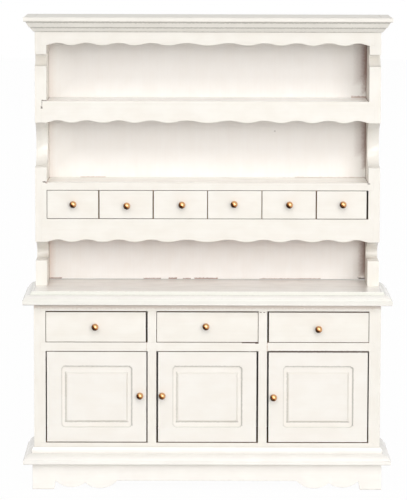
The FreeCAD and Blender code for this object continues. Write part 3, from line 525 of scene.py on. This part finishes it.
def dress_frame():
    """Give every CAD piece its finish, and wooden pieces their softened edges."""
    for name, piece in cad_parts.items():
        piece.data.materials.clear()
        piece.data.materials.append(finish_for(name))
        if not name.endswith("_knob") and name != "door_pins":
            soften(piece, FLOODED_EDGE if name in FLOODED
                   else CRISP_EDGE if name in CRISP else SANDED_EDGE)


# Stage: a table top of this half width in metres, its colour in the light that it sends
# back, how much of it shows as plain white, and the studio's own light
FLOOR_HALF = 3.0
TABLE_COLOUR = "#DCDCDC"
WHITE = "#FFFFFF"
PLAIN_SHARE = 0.975
ROOM_LIGHT = 0.28


def shown_directly(tree):
    """1 for camera, glossy and transmission rays, which see the white studio itself."""
    path = node(tree, "ShaderNodeLightPath")
    seen = node(tree, "ShaderNodeMath",
                {0: path.outputs["Is Camera Ray"], 1: path.outputs["Is Glossy Ray"]},
                operation="ADD")
    return node(tree, "ShaderNodeMath",
                {0: seen, 1: path.outputs["Is Transmission Ray"]}, operation="ADD",
                use_clamp=True)


def make_floor():
    """A matt white table top that runs out into the white studio and keeps a soft shadow."""
    mesh = bpy.data.meshes.new("table_top")
    corners = [(-FLOOR_HALF, -FLOOR_HALF, 0), (FLOOR_HALF, -FLOOR_HALF, 0),
               (FLOOR_HALF, FLOOR_HALF, 0), (-FLOOR_HALF, FLOOR_HALF, 0)]
    mesh.from_pydata(corners, [], [(0, 1, 2, 3)])
    floor = bpy.data.objects.new("table_top", mesh)
    bpy.context.scene.collection.objects.link(floor)
    material, tree = new_material("matt_white_table")
    seen = shown_directly(tree)
    colour = node(tree, "ShaderNodeMix", {0: seen, 6: TABLE_COLOUR, 7: WHITE},
                  data_type="RGBA")
    matt = node(tree, "ShaderNodeBsdfDiffuse", {"Color": colour})
    plain = node(tree, "ShaderNodeEmission", {"Color": WHITE, "Strength": 1.0})
    share = node(tree, "ShaderNodeMath", {0: seen, 1: PLAIN_SHARE}, operation="MULTIPLY")
    shader = node(tree, "ShaderNodeMixShader", {0: share, 1: matt, 2: plain})
    node(tree, "ShaderNodeOutputMaterial", {"Surface": shader})
    mesh.materials.append(material)


def make_world():
    """A white studio that lights the dresser only softly."""
    world = bpy.data.worlds.new("white_studio")
    world.use_nodes = True
    tree = world.node_tree
    tree.nodes.clear()
    soft = node(tree, "ShaderNodeBackground", {"Color": WHITE, "Strength": ROOM_LIGHT})
    plain = node(tree, "ShaderNodeBackground", {"Color": WHITE, "Strength": 1.0})
    shader = node(tree, "ShaderNodeMixShader",
                  {0: shown_directly(tree), 1: soft, 2: plain})
    node(tree, "ShaderNodeOutputWorld", {"Surface": shader})
    bpy.context.scene.world = world


# Softboxes: bearing from the dresser's front towards its right and height above its middle,
# both in degrees, width and height in metres, and power in watts
LAMP_DISTANCE = 3.0
DRESSER_MIDDLE = Vector((0, 0, 0.09))
SOFTBOXES = {
    "key": (21, 17, 1.8, 1.2, 21.5),
    "fill": (-24, 17, 2.0, 1.2, 13.5),
    "low": (12, 8, 1.8, 0.7, 18.0),
    "above": (0, 43, 2.4, 1.2, 22.0),
    "behind_right": (130, 18, 2.0, 1.2, 24.0),
    "behind_left": (-130, 18, 2.0, 1.2, 24.0),
}


def make_lights():
    """A soft key and weaker fill beside the camera, one low, one above and two behind."""
    for name, (bearing, rise, width, height, power) in SOFTBOXES.items():
        light = bpy.data.lights.new(name, "AREA")
        light.shape = "RECTANGLE"
        light.size = width
        light.size_y = height
        light.energy = power
        towards = (Matrix.Rotation(math.radians(bearing), 3, "Z")
                   @ Matrix.Rotation(math.radians(-rise), 3, "X") @ Vector((0, -1, 0)))
        lamp = bpy.data.objects.new(name, light)
        lamp.location = DRESSER_MIDDLE + towards * LAMP_DISTANCE
        lamp.rotation_euler = (-towards).to_track_quat("-Z", "Y").to_euler()
        bpy.context.scene.collection.objects.link(lamp)


# The photograph's frame and focal length in pixels, and the place in metres and angles in
# radians that its perspective fits. The view reaches past the table's far edge.
FRAME_WIDTH_PX = 407
FOCAL_PX = 3150.65
SENSOR_WIDTH = 36.0
CAMERA_PLACE = Vector((-0.006655, -1.2689, 0.24554))
CAMERA_PITCH = 0.118
CAMERA_YAW = 0.004
CAMERA_ROLL = 0.0027
VIEW_REACH = 50


def make_camera():
    """The camera that took the photograph."""
    camera_data = bpy.data.cameras.new("camera")
    camera_data.sensor_fit = "HORIZONTAL"
    camera_data.sensor_width = SENSOR_WIDTH
    camera_data.lens = FOCAL_PX / FRAME_WIDTH_PX * SENSOR_WIDTH
    camera_data.clip_end = VIEW_REACH
    camera = bpy.data.objects.new("camera", camera_data)
    turn = (Matrix.Rotation(-CAMERA_YAW, 4, "Z")
            @ Matrix.Rotation(math.pi / 2 - CAMERA_PITCH, 4, "X")
            @ Matrix.Rotation(CAMERA_ROLL, 4, "Z"))
    camera.matrix_world = Matrix.Translation(CAMERA_PLACE) @ turn
    bpy.context.scene.collection.objects.link(camera)
    bpy.context.scene.camera = camera


dress_frame()
make_floor()
make_world()
make_lights()
make_camera()
bpy.context.scene.view_settings.view_transform = "Standard"
